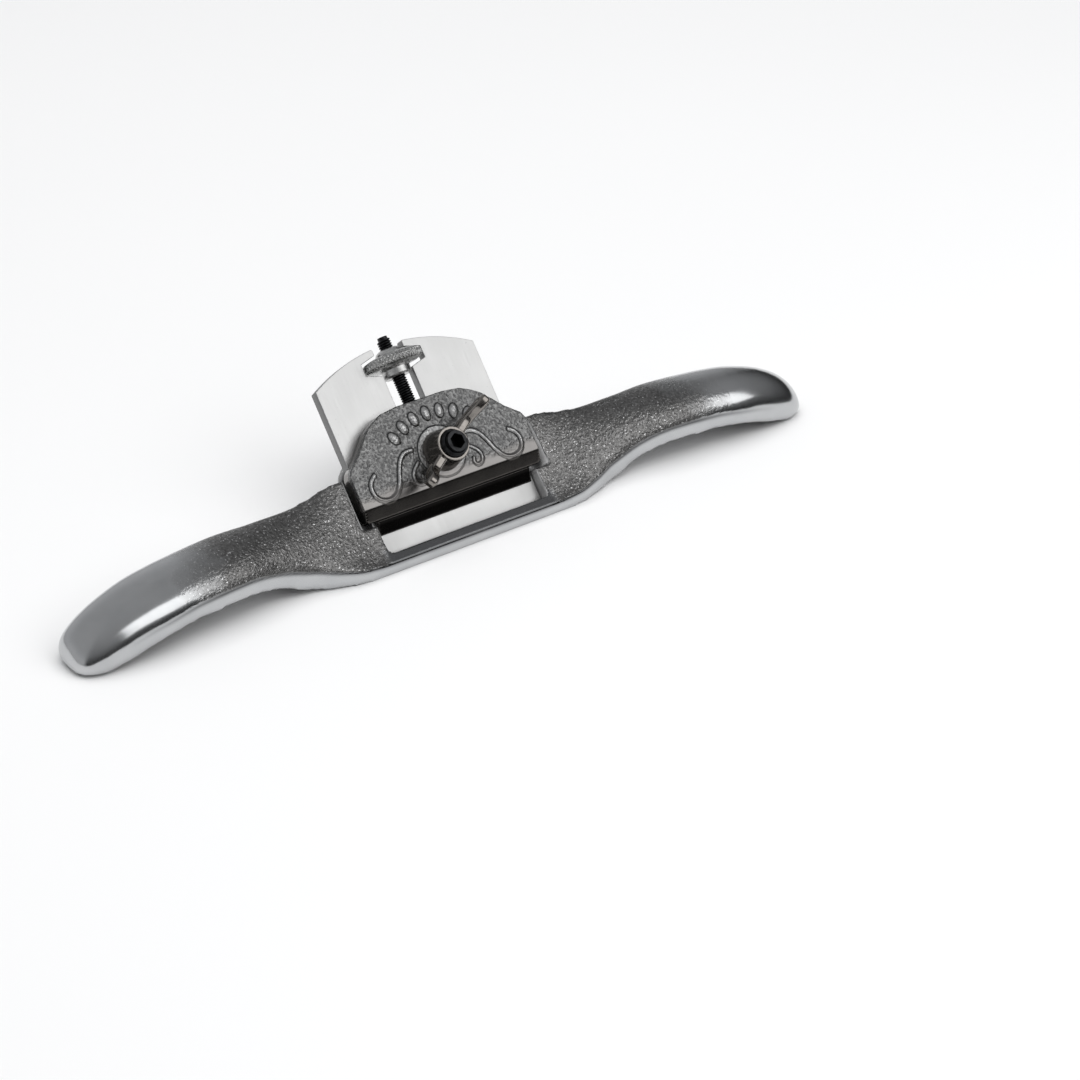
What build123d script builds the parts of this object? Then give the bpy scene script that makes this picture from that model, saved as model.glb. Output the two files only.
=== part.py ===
"""Flat-soled metal spokeshave with a clamped cutter and a nut-and-stud depth adjuster.

Units are mm, +Z is up, +X runs along the handles and the tool cuts towards -Y.
The cutter bed is set up as its own work plane: local x across the tool,
local y up the bed, local z square out of the bed, zero at the cutting edge.
"""
import math
import os

from build123d import *

os.makedirs("parts", exist_ok=True)

# ---- driving dimensions -------------------------------------------------------------
BED_ANGLE = 45.0            # cutter bed to sole
EDGE_Y = -21.0              # cutting edge, so that the tool is centred on the origin

CUTTER_W = 54.0             # 2 1/8 in cutter
CUTTER_T = 3.0
CUTTER_CORNER = 52.0        # edge to top corners, up the bed
CUTTER_LEN = 58.8           # edge to the top of the arch
CUTTER_SLOT_W = 10.0
CUTTER_SLOT_END = 17.0
CUTTER_BEVEL = 5.2
NOTCH_W = 20.2              # cross notch that takes the adjuster disc
NOTCH_LOW = 51.9
NOTCH_HIGH = 55.5

SOLE_FRONT = -3.5           # from the cutting edge
SOLE_REAR = 20.0
BAR_H = 3.4                 # front bar above the sole
MOUTH_FRONT = -0.7
MOUTH_HALF = 27.4
MOUTH_CORNER_R = 1.4
CHEEK_HALF = 31.0
CHEEK_LOW = 11.4            # where the cheeks step in to the mouth, up the bed
CHEEK_RISE = 3.25           # cheek tops above the front of the cutter
LIP_T = 3.5                 # bed plate thickness at its top edge

STUD_S = 24.7               # clamp stud, up the bed
STUD_R = 3.95               # M8
STUD_TOP = 14.6
STUD_DEPTH = 7.5            # below the front of the cutter, into the bed
HEX_AF = 4.0

ADJ_STUD_R = 1.97           # M4
ADJ_STUD_O = -0.8           # axis height from the front of the cutter
ADJ_STUD_TOP = 61.0
ADJ_BOSS = (9.4, 29.5, 38.0, 1.7)   # width, low end, high end, rise
DISC_S = 53.7
DISC_R = 9.1
DISC_T = 2.9
HUB_R = 4.3
HUB_L = 3.2
COLLAR_L = 2.2              # hub above the disc

CAP_HALF = 30.0
CAP_TIP_HALF = 26.2
CAP_TIP = 8.6
CAP_TOP = 4.6
CAP_HOLE_R = 4.6
CAP_SEAT = 0.04             # gap under the cap where it bears on the cutter

NUT_TOP = 12.2
NUT_R_LOW = 6.0
NUT_R_HIGH = 4.95
NUT_WING_ANGLE = 32.7
NUT_WING_T = 2.8

beta = math.radians(BED_ANGLE)
bed = Plane(
    origin=(0, EDGE_Y, 0),
    x_dir=(1, 0, 0),
    z_dir=(0, -math.sin(beta), math.cos(beta)),
)


def on_bed(s, o):
    """(y, z) from the cutting edge of a point s up the bed and o out of it."""
    y = s * math.cos(beta) - o * math.sin(beta)
    z = s * math.sin(beta) + o * math.cos(beta)
    return y, z


def bed_prism(points, low, high):
    """Outline in bed coordinates (x, s), extruded from o = low to o = high."""
    face = make_face(Polyline(*points, close=True))
    return bed * Pos(0, 0, low) * extrude(face, high - low)


def cross_prism(points, half):
    """Outline in (y, z) from the cutting edge, extruded to x = +-half."""
    plane = Plane(origin=(0, EDGE_Y, 0), x_dir=(0, 1, 0), z_dir=(1, 0, 0))
    face = plane * make_face(Polyline(*points, close=True))
    return extrude(face, half, dir=(1, 0, 0)) + extrude(face, half, dir=(-1, 0, 0))


# ---- body casting -------------------------------------------------------------------
# Each station is a section across the tool: front foot, front crease, two points
# over the top, rear crest, lip under the crest, one point down the rear, rear foot.
def centre_station(x, top_s):
    crest = on_bed(top_s, CHEEK_RISE)
    lip = on_bed(top_s, -CUTTER_T - LIP_T)
    front = (SOLE_FRONT, BAR_H)
    low = (0.0, 4.6)
    top1 = (low[0] + 0.22 * (crest[0] - low[0]), low[1] + 0.22 * (crest[1] - low[1]))
    top2 = (low[0] + 0.62 * (crest[0] - low[0]), low[1] + 0.62 * (crest[1] - low[1]))
    rear = (SOLE_REAR + 0.46 * (lip[0] - SOLE_REAR), 0.44 * lip[1])
    return x, (SOLE_FRONT, -0.5), front, top1, top2, crest, lip, rear, (SOLE_REAR, -0.5)


stations = [
    centre_station(0, 40.3),
    centre_station(8, 40.2),
    centre_station(13.5, 39.5),
    centre_station(18, 37.0),
    centre_station(22.5, 33.0),
    centre_station(27, 29.2),
    (31, (-3.5, -0.5), (-3.5, 3.5), (1.5, 6.4), (8.8, 13.0),
     (17.0, 20.6), (20.5, 15.5), (20.6, 7.0), (19.6, -0.5)),
    (37, (-3.4, -0.4), (-3.4, 4.1), (2.0, 7.6), (9.4, 13.8),
     (17.5, 19.7), (19.5, 14.0), (18.8, 6.4), (17.2, -0.4)),
    (44, (-1.9, -0.2), (-2.0, 5.2), (3.1, 9.6), (9.7, 14.7),
     (17.0, 18.6), (18.1, 13.0), (16.7, 6.3), (14.4, 0.1)),
    (52, (0.3, 1.0), (0.2, 7.0), (4.2, 11.8), (10.1, 15.9),
     (16.3, 18.0), (17.2, 12.7), (15.6, 7.4), (13.2, 2.8)),
    (62, (0.9, 4.6), (0.8, 9.8), (4.6, 14.5), (10.4, 17.5),
     (16.5, 17.7), (17.4, 13.3), (15.8, 9.6), (13.5, 6.6)),
    (74, (-0.4, 6.9), (-0.5, 11.9), (3.6, 16.4), (10.3, 18.5),
     (17.3, 17.3), (18.4, 13.4), (16.9, 10.6), (14.5, 8.2)),
    (88, (-1.2, 6.4), (-1.3, 11.4), (3.1, 16.2), (9.9, 18.0),
     (17.1, 16.4), (18.4, 12.5), (17.2, 9.4), (15.1, 7.0)),
    (101, (-2.4, 4.5), (-2.5, 9.8), (1.9, 15.2), (8.7, 17.1),
     (16.2, 15.3), (17.7, 11.0), (16.6, 7.7), (14.6, 5.1)),
    (111, (-2.4, 1.8), (-2.5, 7.2), (1.5, 12.8), (7.9, 15.0),
     (14.8, 13.0), (16.7, 8.5), (15.7, 5.0), (13.7, 2.2)),
    (118, (-1.9, 0.2), (-2.0, 4.9), (1.7, 10.0), (7.6, 12.0),
     (13.6, 10.3), (15.6, 6.4), (14.6, 3.2), (12.2, 0.6)),
    (122.5, (-0.4, 0.1), (-0.5, 3.3), (2.9, 7.2), (7.6, 8.8),
     (12.2, 7.8), (14.0, 4.6), (13.1, 2.3), (10.8, 0.3)),
    (124.5, (1.5, 0.2), (1.4, 2.2), (3.8, 5.2), (7.4, 6.4),
     (11.0, 5.8), (12.3, 3.4), (11.6, 1.8), (9.8, 0.4)),
    (125.2, (3.8, 0.6), (3.7, 1.6), (5.2, 3.2), (7.3, 3.9),
     (9.4, 3.6), (10.2, 2.3), (9.8, 1.3), (8.6, 0.7)),
]


def smooth_track(xs, ys, x):
    """Value at x of a smooth curve through the points that never overshoots them."""
    n = len(xs)
    h = [xs[i + 1] - xs[i] for i in range(n - 1)]
    d = [(ys[i + 1] - ys[i]) / h[i] for i in range(n - 1)]
    m = [d[0]]
    for i in range(1, n - 1):
        if d[i - 1] * d[i] <= 0:
            m.append(0.0)
        else:
            w1 = 2 * h[i] + h[i - 1]
            w2 = h[i] + 2 * h[i - 1]
            m.append((w1 + w2) / (w1 / d[i - 1] + w2 / d[i]))
    m.append(d[-1])
    i = max(j for j in range(n - 1) if xs[j] <= x or j == 0)
    t = (x - xs[i]) / h[i]
    lower = ys[i] * (1 + 2 * t) * (1 - t) ** 2 + ys[i + 1] * t * t * (3 - 2 * t)
    return lower + h[i] * (m[i] * t * (1 - t) ** 2 - m[i + 1] * t * t * (1 - t))


def station_at(x):
    """The station's points at any x between the ones listed."""
    xs = [s[0] for s in stations]
    points = []
    for k in range(1, 9):
        y = smooth_track(xs, [s[k][0] for s in stations], x)
        z = smooth_track(xs, [s[k][1] for s in stations], x)
        points.append((y, z))
    return points


def section(x, side):
    """Closed section wire: flat front, domed top, short crest, rear flank, foot."""
    p = [Vector(side * x, EDGE_Y + y, z) for y, z in station_at(x)]
    front = Edge.make_line(p[0], p[1])
    top = Edge.make_spline(p[1:5], parameters=(0, 1 / 3, 2 / 3, 1))
    crest = Edge.make_line(p[4], p[5])
    flank = Edge.make_spline(p[5:8], parameters=(0, 0.5, 1))
    foot = Edge.make_line(p[7], p[0])
    return Wire([front, top, crest, flank, foot])


section_at = [0, 5, 9, 12, 14.5, 17, 19.5, 22, 24.5, 27, 29, 31, 34, 37, 40.5, 44, 48, 52, 57, 62, 68, 74]
section_at += [81, 88, 94.5, 101, 106, 111, 114.5, 118, 120.5, 122.5, 123.7, 124.5, 125.2]


def casting_half(side):
    return Solid.make_loft([section(x, side) for x in section_at], ruled=True)


# The handles are shells: a trough runs under each from beside the sole to the tip.
trough = [
    (44.2, (7.2, -3), (8.0, 1.0), (9.6, 1.2), (10.4, -3)),
    (48, (3.6, -2), (4.4, 5.0), (11.2, 9.0), (11.6, -2)),
    (54, (3.1, -1), (3.5, 8.0), (12.8, 13.4), (11.2, 0)),
    (62, (3.3, 3), (3.5, 11.0), (13.6, 14.4), (11.4, 4)),
    (76, (1.9, 4), (2.0, 12.6), (14.4, 14.4), (12.8, 5)),
    (90, (1.1, 3), (1.3, 12.2), (14.2, 13.5), (13.4, 4)),
    (102, (0.1, 1), (0.3, 10.9), (13.2, 12.4), (12.8, 2)),
    (112, (0.2, -1), (0.5, 8.6), (12.0, 9.9), (11.8, -1)),
    (119, (0.9, -2), (1.5, 6.2), (10.6, 7.2), (10.4, -2)),
    (122.4, (3.4, -2), (3.9, 3.4), (9.0, 3.9), (9.0, -2)),
]


def trough_half(side):
    wires = []
    for x, *pts in trough:
        corners = [(side * x, EDGE_Y + y, z) for y, z in pts]
        wires.append(Wire(Polyline(*corners, close=True).edges()))
    return Solid.make_loft(wires, ruled=True)


body = casting_half(1) + casting_half(-1)
body -= trough_half(1)
body -= trough_half(-1)

# The sole is ground flat.
body -= Pos(0, 0, -5) * Box(300, 100, 10)

# Cutter bed between the cheeks, then the narrower mouth through the sole.
body -= bed_prism(
    [(-CHEEK_HALF, CHEEK_LOW), (CHEEK_HALF, CHEEK_LOW), (CHEEK_HALF, 70), (-CHEEK_HALF, 70)],
    -CUTTER_T,
    30,
)
mouth_top = on_bed(CHEEK_LOW + 0.5, -CUTTER_T)
mouth = cross_prism(
    [
        (MOUTH_FRONT, -1),
        (CUTTER_T / math.sin(beta) - 1, -1),
        mouth_top,
        (MOUTH_FRONT, mouth_top[1] + mouth_top[0] - MOUTH_FRONT),
    ],
    MOUTH_HALF,
)
body -= fillet(mouth.edges().filter_by(Axis.Z), MOUTH_CORNER_R)

# Boss in the cutter's slot that carries the adjuster stud.
boss_w, boss_low, boss_high, boss_rise = ADJ_BOSS
body += bed_prism(
    [(-boss_w / 2, boss_low), (boss_w / 2, boss_low), (boss_w / 2, boss_high), (-boss_w / 2, boss_high)],
    -CUTTER_T - 0.5,
    boss_rise,
)


def along_bed(radius, low, high, o):
    """Cylinder lying up the bed, from s = low to s = high, at height o."""
    length = high - low
    return bed * Pos(0, low + length / 2, o) * Rot(90, 0, 0) * Cylinder(radius, length)


def out_of_bed(radius, low, high, s):
    """Cylinder standing square out of the bed at s."""
    length = high - low
    return bed * Pos(0, s, low + length / 2) * Cylinder(radius, length)


body -= along_bed(ADJ_STUD_R, boss_low + 1, ADJ_STUD_TOP, ADJ_STUD_O)
body -= along_bed(2.9, boss_high, 44, -CUTTER_T - 0.4)
body -= out_of_bed(STUD_R, -STUD_DEPTH, 2, STUD_S)

# ---- cutter -------------------------------------------------------------------------
half = CUTTER_W / 2
slot = CUTTER_SLOT_W / 2
rise = CUTTER_LEN - CUTTER_CORNER
blank = make_face(
    [
        Line((-half, 0), (half, 0)),
        Line((half, 0), (half, CUTTER_CORNER)),
        ThreePointArc((half, CUTTER_CORNER), (0, CUTTER_CORNER + rise), (-half, CUTTER_CORNER)),
        Line((-half, CUTTER_CORNER), (-half, 0)),
    ]
)
cutter = bed * Pos(0, 0, -CUTTER_T) * extrude(blank, CUTTER_T)
cutter -= bed_prism([(-slot, CUTTER_SLOT_END), (slot, CUTTER_SLOT_END), (slot, 70), (-slot, 70)], -4, 1)
cutter -= out_of_bed(slot, -4, 1, CUTTER_SLOT_END)
notch = NOTCH_W / 2
cutter -= bed_prism(
    [
        (-slot, NOTCH_LOW - 1.4),
        (slot, NOTCH_LOW - 1.4),
        (notch, NOTCH_LOW),
        (notch, NOTCH_HIGH),
        (slot, NOTCH_HIGH + 1.0),
        (-slot, NOTCH_HIGH + 1.0),
        (-notch, NOTCH_HIGH),
        (-notch, NOTCH_LOW),
    ],
    -4,
    1,
)
bevel_back = on_bed(CUTTER_BEVEL, -CUTTER_T)
cutter -= cross_prism(
    [(0, 0), bevel_back, (bevel_back[0], -3), (-3, -3)],
    half + 1,
)

# ---- adjuster -----------------------------------------------------------------------
adjuster_stud = along_bed(ADJ_STUD_R, boss_low + 1, ADJ_STUD_TOP, ADJ_STUD_O)
up_the_bed = Axis((0, 0, 0), (0, math.cos(beta), math.sin(beta)))
adjuster_stud = chamfer(adjuster_stud.edges().sort_by(up_the_bed)[-1], 0.5)

disc = bed * Pos(0, DISC_S, ADJ_STUD_O) * Rot(90, 0, 0) * Cylinder(DISC_R, DISC_T)
disc = fillet(disc.edges().filter_by(GeomType.CIRCLE), 1.2)
hub = along_bed(HUB_R, DISC_S - DISC_T / 2 - HUB_L, DISC_S + DISC_T / 2 + COLLAR_L, ADJ_STUD_O)
hub = chamfer(hub.edges().filter_by(GeomType.CIRCLE), 0.7)
adjuster_nut = disc + hub - along_bed(ADJ_STUD_R + 0.05, 40, 66, ADJ_STUD_O)

# ---- lever cap ----------------------------------------------------------------------
shoulder = [(30.0, 26.4), (28.5, 28.2), (25.2, 30.6), (22.0, 34.2)]
shoulder += [(19.4, 36.8), (16.6, 38.2), (13.4, 39.9), (0, 40.9)]
outline = [(-x, s) for x, s in shoulder[:-1]] + [shoulder[-1]] + [(x, s) for x, s in reversed(shoulder[:-1])]
outline += [
    (CAP_HALF, 12.6),
    (27.8, 12.6),
    (27.4, 11.4),
    (CAP_TIP_HALF, 11.0),
    (CAP_TIP_HALF, CAP_TIP),
    (-CAP_TIP_HALF, CAP_TIP),
    (-CAP_TIP_HALF, 11.0),
    (-27.4, 11.4),
    (-27.8, 12.6),
    (-CAP_HALF, 12.6),
]
cap_plan = bed_prism(outline, CAP_SEAT, CAP_TOP)
profile = [
    on_bed(CAP_TIP - 0.5, CAP_SEAT - 1),
    on_bed(CAP_TIP - 0.5, 0.5),
    on_bed(11.2, 1.7),
    on_bed(11.7, 2.4),
    on_bed(16.2, CAP_TOP),
    on_bed(45, CAP_TOP + 0.01),
    on_bed(45, CAP_SEAT - 1),
]
lever_cap = cap_plan & cross_prism(profile, 40)
hollow = [(-27.6, 13.0), (27.6, 13.0), (27.6, 27.0), (17.0, 36.2), (-17.0, 36.2), (-27.6, 27.0)]
lever_cap -= bed_prism(hollow, -1, 2.4)
lever_cap -= bed_prism([(-5.6, 30), (5.6, 30), (5.6, 45), (-5.6, 45)], -1, 2.4)
lever_cap += out_of_bed(7.6, 2.3, CAP_TOP + 0.4, STUD_S)
lever_cap -= out_of_bed(CAP_HOLE_R, -1, 8, STUD_S)

# ---- clamp stud and wing nut --------------------------------------------------------
clamp_stud = bed * Pos(0, STUD_S, -STUD_DEPTH) * extrude(Circle(STUD_R), STUD_TOP + STUD_DEPTH)
square_to_bed = Axis((0, 0, 0), (0, -math.sin(beta), math.cos(beta)))
clamp_stud = chamfer(clamp_stud.edges().sort_by(square_to_bed)[-1], 0.7)
socket = RegularPolygon(HEX_AF / math.sqrt(3), 6)
clamp_stud -= bed * Pos(0, STUD_S, STUD_TOP - 4.5) * extrude(socket, 6)

nut_low = CAP_TOP + 0.45
nut_body = bed * Pos(0, STUD_S, (nut_low + NUT_TOP) / 2) * Cone(NUT_R_LOW, NUT_R_HIGH, NUT_TOP - nut_low)
wing_outline = [(4.4, 5.9), (8.0, 6.6), (12.6, 8.8), (15.8, 11.8), (16.9, 14.4), (16.2, 16.4), (14.6, 16.6)]
wing_outline += [(12.4, 15.2), (10.4, 12.9), (8.4, 11.4), (4.4, 10.9)]
wing_face = make_face([Spline(*wing_outline), Line(wing_outline[-1], wing_outline[0])])
wing = extrude(Plane.XZ * wing_face, NUT_WING_T / 2, both=True)
wings = Rot(0, 0, NUT_WING_ANGLE) * (wing + Rot(0, 0, 180) * wing)
wing_nut = nut_body + bed * Pos(0, STUD_S, 0) * wings
wing_nut -= out_of_bed(STUD_R + 0.05, 0, 20, STUD_S)

# ---- write one STEP file for each piece ---------------------------------------------
pieces = {
    "body": body,
    "cutter": cutter,
    "lever_cap": lever_cap,
    "clamp_stud": clamp_stud,
    "wing_nut": wing_nut,
    "adjuster_stud": adjuster_stud,
    "adjuster_nut": adjuster_nut,
}
for name, piece in pieces.items():
    export_step(piece, f"parts/{name}.step")
    size = piece.bounding_box()
    print(name, "solids", len(piece.solids()), "volume", round(piece.volume, 1), size)
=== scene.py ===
import math

import bmesh
import bpy
import numpy as np
from mathutils import Euler, Matrix, Vector


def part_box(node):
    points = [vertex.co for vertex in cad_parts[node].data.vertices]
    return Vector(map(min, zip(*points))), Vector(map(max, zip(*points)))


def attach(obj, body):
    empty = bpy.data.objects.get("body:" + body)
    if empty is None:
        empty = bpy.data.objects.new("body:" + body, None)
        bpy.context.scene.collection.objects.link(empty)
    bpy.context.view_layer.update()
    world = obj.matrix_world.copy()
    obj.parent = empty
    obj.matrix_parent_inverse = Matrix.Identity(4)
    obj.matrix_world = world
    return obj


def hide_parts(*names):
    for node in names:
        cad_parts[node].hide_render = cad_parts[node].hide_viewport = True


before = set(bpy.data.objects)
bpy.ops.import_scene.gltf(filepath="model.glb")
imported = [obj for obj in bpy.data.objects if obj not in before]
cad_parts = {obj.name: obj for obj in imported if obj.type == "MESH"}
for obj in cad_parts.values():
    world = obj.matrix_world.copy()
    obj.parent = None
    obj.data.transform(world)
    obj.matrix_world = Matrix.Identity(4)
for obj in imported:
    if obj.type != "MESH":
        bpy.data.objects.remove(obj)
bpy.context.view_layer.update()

# ---- Body casting -------------------------------------------------------------------
# One iron casting: a bar in front of the mouth, two cheeks, a 45 degree bed on a
# saddle, and two shell handles. The skin is left as cast on top and in the troughs;
# the front, the grips and the backs are polished and the sole is ground flat.

MM = 0.001
EDGE_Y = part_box("cutter")[0][1] / MM        # the cutting edge, mm from the origin
BED_ANGLE = math.radians(45)
CUTTER_T = 3.0
BED_TO_ROW = (
    Matrix.Scale(MM, 4)
    @ Matrix.Translation((0, EDGE_Y, 0))
    @ Matrix.Rotation(BED_ANGLE, 4, "X")
)
EDGE_TO_ROW = Matrix.Scale(MM, 4) @ Matrix.Translation((0, EDGE_Y, 0))
CHEEK_RISE = 3.25
LIP_T = 3.5
SOLE_FRONT = -3.5
SOLE_REAR = 20.0


def on_bed(s, o):
    """(y, z) from the cutting edge, of a point s up the bed and o out of it."""
    c, n = math.cos(BED_ANGLE), math.sin(BED_ANGLE)
    return s * c - o * n, s * n + o * c


def saddle_station(x, top_s):
    """Section of the casting where the bed stands above it."""
    crest = on_bed(top_s, CHEEK_RISE)
    lip = on_bed(top_s, -CUTTER_T - LIP_T)
    low = (0.0, 4.6)
    top1 = [a + 0.22 * (b - a) for a, b in zip(low, crest)]
    top2 = [a + 0.62 * (b - a) for a, b in zip(low, crest)]
    rear = (SOLE_REAR + 0.46 * (lip[0] - SOLE_REAR), 0.44 * lip[1])
    return x, (SOLE_FRONT, 0), (SOLE_FRONT, 3.4), top1, top2, crest, lip, rear, (SOLE_REAR, 0)


# Foot, crease, two points over the top, crest, lip, one point down the back, rear foot.
STATIONS = [
    saddle_station(0, 40.3),
    saddle_station(8, 40.2),
    saddle_station(13.5, 39.5),
    saddle_station(18, 37.0),
    saddle_station(22.5, 33.0),
    saddle_station(27, 29.2),
    (31, (-3.5, 0), (-3.5, 3.5), (1.5, 6.4), (8.8, 13.0),
     (17.0, 20.6), (20.5, 15.5), (20.6, 7.0), (19.6, 0)),
    (37, (-3.4, 0), (-3.4, 4.1), (2.0, 7.6), (9.4, 13.8),
     (17.5, 19.7), (19.5, 14.0), (18.8, 6.4), (17.2, 0)),
    (44, (-1.9, 0), (-2.0, 5.2), (3.1, 9.6), (9.7, 14.7),
     (17.0, 18.6), (18.1, 13.0), (16.7, 6.3), (14.4, 0.1)),
    (52, (0.3, 1.0), (0.2, 7.0), (4.2, 11.8), (10.1, 15.9),
     (16.3, 18.0), (17.2, 12.7), (15.6, 7.4), (13.2, 2.8)),
    (62, (0.9, 4.6), (0.8, 9.8), (4.6, 14.5), (10.4, 17.5),
     (16.5, 17.7), (17.4, 13.3), (15.8, 9.6), (13.5, 6.6)),
    (74, (-0.4, 6.9), (-0.5, 11.9), (3.6, 16.4), (10.3, 18.5),
     (17.3, 17.3), (18.4, 13.4), (16.9, 10.6), (14.5, 8.2)),
    (88, (-1.2, 6.4), (-1.3, 11.4), (3.1, 16.2), (9.9, 18.0),
     (17.1, 16.4), (18.4, 12.5), (17.2, 9.4), (15.1, 7.0)),
    (101, (-2.4, 4.5), (-2.5, 9.8), (1.9, 15.2), (8.7, 17.1),
     (16.2, 15.3), (17.7, 11.0), (16.6, 7.7), (14.6, 5.1)),
    (111, (-2.4, 1.8), (-2.5, 7.2), (1.5, 12.8), (7.9, 15.0),
     (14.8, 13.0), (16.7, 8.5), (15.7, 5.0), (13.7, 2.2)),
    (118, (-1.9, 0.2), (-2.0, 4.9), (1.7, 10.0), (7.6, 12.0),
     (13.6, 10.3), (15.6, 6.4), (14.6, 3.2), (12.2, 0.6)),
    (122.5, (-0.4, 0.1), (-0.5, 3.3), (2.9, 7.2), (7.6, 8.8),
     (12.2, 7.8), (14.0, 4.6), (13.1, 2.3), (10.8, 0.3)),
    (124.5, (1.5, 0.1), (1.4, 2.2), (3.8, 5.2), (7.4, 6.4),
     (11.0, 5.8), (12.3, 3.4), (11.6, 1.8), (9.8, 0.2)),
    (125.2, (3.8, 0.2), (3.7, 1.6), (5.2, 3.2), (7.3, 3.9),
     (9.4, 3.6), (10.2, 2.3), (9.8, 1.3), (8.6, 0.3)),
]
STATION_X = [s[0] for s in STATIONS]


def smooth_track(values, x):
    """Value at x of a smooth curve through the stations that never overshoots them."""
    xs = STATION_X
    n = len(xs)
    h = [xs[i + 1] - xs[i] for i in range(n - 1)]
    d = [(values[i + 1] - values[i]) / h[i] for i in range(n - 1)]
    m = [d[0]]
    for i in range(1, n - 1):
        if d[i - 1] * d[i] <= 0:
            m.append(0.0)
        else:
            w1, w2 = 2 * h[i] + h[i - 1], h[i] + 2 * h[i - 1]
            m.append((w1 + w2) / (w1 / d[i - 1] + w2 / d[i]))
    m.append(d[-1])
    i = max(j for j in range(n - 1) if xs[j] <= x or j == 0)
    t = (x - xs[i]) / h[i]
    value = values[i] * (1 + 2 * t) * (1 - t) ** 2 + values[i + 1] * t * t * (3 - 2 * t)
    return value + h[i] * (m[i] * t * (1 - t) ** 2 - m[i + 1] * t * t * (1 - t))


def station_points(x):
    x = min(abs(x), STATION_X[-1])
    return [
        tuple(smooth_track([s[k][j] for s in STATIONS], x) for j in (0, 1))
        for k in range(1, 9)
    ]


def through(points, t):
    """Point at t on the polynomial curve that passes the points at even steps."""
    n = len(points) - 1
    result = [0.0, 0.0]
    for i, p in enumerate(points):
        weight = math.prod((t * n - j) / (i - j) for j in range(n + 1) if j != i)
        result[0] += weight * p[0]
        result[1] += weight * p[1]
    return tuple(result)


def section_ring(x):
    """The section's outline: front, top, crest, back and foot, as (y, z) points."""
    p = station_points(x)
    ring = [through(p[0:2], i / 4) for i in range(4)]
    ring += [through(p[1:5], i / 12) for i in range(12)]
    ring += [through(p[4:6], i / 3) for i in range(3)]
    ring += [through(p[5:8], i / 7) for i in range(7)]
    ring += [through([p[7], p[0]], i / 8) for i in range(8)]
    return ring


def pulled_in(ring, wall):
    """The ring moved inwards by the wall's thickness, its foot dropped clear below."""
    pts = np.array(ring)
    before, after = np.roll(pts, 1, axis=0), np.roll(pts, -1, axis=0)
    along = after - before
    along /= np.linalg.norm(along, axis=1)[:, None] + 1e-9
    inward = np.stack([along[:, 1], -along[:, 0]], axis=1)
    inner = pts + inward * wall
    foot = slice(26, 34)
    inner[foot, 0] = np.linspace(inner[25, 0], inner[1, 0], 8)
    inner[foot, 1] = min(pts[0, 1], pts[26, 1]) - 5
    inner[0] = (inner[1, 0], min(pts[0, 1], pts[26, 1]) - 5)
    return [tuple(q) for q in inner]


def skin_over(rings):
    """A closed skin over a row of rings, each (x, [(y, z), ...]), as a bmesh in mm."""
    around = len(rings[0][1])
    bm = bmesh.new()
    bmesh.ops.create_grid(bm, x_segments=around, y_segments=len(rings) - 1, size=1)
    bm.verts.ensure_lookup_table()
    for row, (x, ring) in enumerate(rings):
        for col in range(around + 1):
            y, z = ring[col % around]
            bm.verts[row * (around + 1) + col].co = (x, y, z)
    bmesh.ops.remove_doubles(bm, verts=bm.verts, dist=1e-5)
    bmesh.ops.holes_fill(bm, edges=[e for e in bm.edges if e.is_boundary], sides=0)
    bmesh.ops.recalc_face_normals(bm, faces=bm.faces)
    return bm


def made(bm, name, to_row=None):
    """The bmesh as an object in the scene, at its place in the tool."""
    mesh = bpy.data.meshes.new(name)
    bm.to_mesh(mesh)
    bm.free()
    if to_row is not None:
        mesh.transform(to_row)
    obj = bpy.data.objects.new(name, mesh)
    bpy.context.scene.collection.objects.link(obj)
    return obj


def add_modifier(obj, kind, **settings):
    modifier = obj.modifiers.new(kind.title(), kind)
    for key, value in settings.items():
        setattr(modifier, key, value)
    return modifier


def finished(obj):
    """Replaces the object's mesh by what its modifiers make of it."""
    graph = bpy.context.evaluated_depsgraph_get()
    mesh = bpy.data.meshes.new_from_object(obj.evaluated_get(graph))
    obj.modifiers.clear()
    obj.data = mesh
    return obj


def cut_by(obj, cutters, operation="DIFFERENCE"):
    for cutter in cutters:
        add_modifier(obj, "BOOLEAN", object=cutter, operation=operation, solver="EXACT")
        finished(obj)
        bpy.data.objects.remove(cutter)
    return obj


def prism(points, low, high):
    """Outline in x and y, extruded from z = low to z = high."""
    bm = bmesh.new()
    face = bm.faces.new([bm.verts.new((x, y, low)) for x, y in points])
    top = bmesh.ops.extrude_face_region(bm, geom=[face])
    moved = [g for g in top["geom"] if isinstance(g, bmesh.types.BMVert)]
    bmesh.ops.translate(bm, verts=moved, vec=(0, 0, high - low))
    bmesh.ops.recalc_face_normals(bm, faces=bm.faces)
    return bm


def across(points, half):
    """Outline in (y, z), standing to x = +-half."""
    bm = prism(points, -half, half)
    bm.transform(Matrix(((0, 0, 1, 0), (1, 0, 0, 0), (0, 1, 0, 0), (0, 0, 0, 1))))
    return bm


def rod(radius, low, high, s, o, along="bed", sides=40):
    """Cylinder in bed coordinates, up the bed or square out of it."""
    bm = bmesh.new()
    bmesh.ops.create_cone(
        bm, cap_ends=True, segments=sides, radius1=radius, radius2=radius, depth=high - low
    )
    middle = (low + high) / 2
    if along == "bed":
        bmesh.ops.rotate(bm, verts=bm.verts, matrix=Matrix.Rotation(-math.pi / 2, 3, "X"))
        bmesh.ops.translate(bm, verts=bm.verts, vec=(0, middle, o))
    else:
        bmesh.ops.translate(bm, verts=bm.verts, vec=(0, s, middle))
    return bm


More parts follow.
